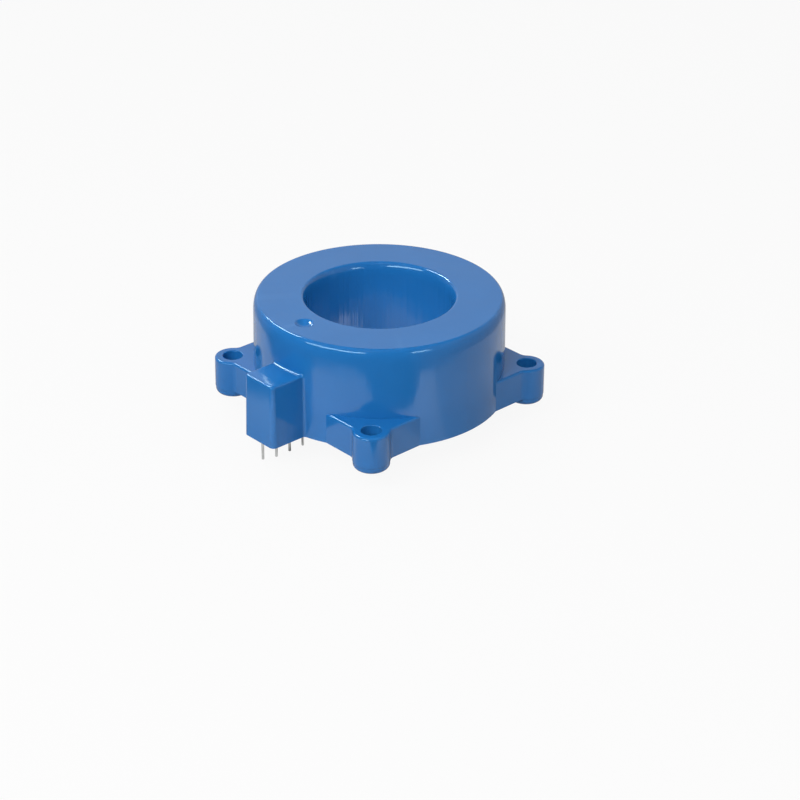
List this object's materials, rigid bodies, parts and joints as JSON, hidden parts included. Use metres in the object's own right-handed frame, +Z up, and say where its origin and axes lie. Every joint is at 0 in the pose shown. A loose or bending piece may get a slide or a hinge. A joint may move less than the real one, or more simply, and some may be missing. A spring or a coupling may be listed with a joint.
{
  "type": "hall effect current sensor",
  "caption": "Blue ring-shaped board-mounted current sensor with a round aperture for a conductor, ears with fixing holes at its corners, a pin block at one side and solder pins below.",
  "frame": {"origin": "on the axis of the aperture, in the plane of the feet, which is the face of the circuit board that the sensor stands on", "axes": "+Z up along the aperture's axis, away from the circuit board; -Y towards the pin block"},
  "size_m": [0.038, 0.0435, 0.0201],
  "materials": {
    "blue_moulding": "glossy blue moulded plastic",
    "core_steel": "grey wound silicon steel strip",
    "adhesive": "soft white silicone adhesive",
    "board_green": "green solder mask",
    "chip_black": "matt black moulding compound",
    "tinned_metal": "matt tin plating",
    "capacitor_ceramic": "fired brown ceramic",
    "resistor_black": "black glaze on ceramic",
    "solder": "bright tin solder",
    "pin_metal": "tinned copper wire",
    "resin": "dark poured epoxy resin"
  },
  "bodies": {
    "root": {"housing": "blue_moulding", "magnetic_core": "core_steel", "core_adhesive": "adhesive", "circuit_board": "board_green", "sensor_chip": "chip_black", "chip_leads": "tinned_metal", "supply_capacitor": "capacitor_ceramic", "supply_capacitor_ends": "tinned_metal", "output_capacitor": "capacitor_ceramic", "output_capacitor_ends": "tinned_metal", "reference_capacitor": "capacitor_ceramic", "reference_capacitor_ends": "tinned_metal", "output_resistor": "resistor_black", "output_resistor_ends": "tinned_metal", "reference_resistor": "resistor_black", "reference_resistor_ends": "tinned_metal", "component_solder": "solder", "supply_pin": "pin_metal", "ground_pin": "pin_metal", "output_pin": "pin_metal", "reference_pin": "pin_metal", "pin_solder": "solder", "potting_resin": "resin"}
  },
  "joints": []
}
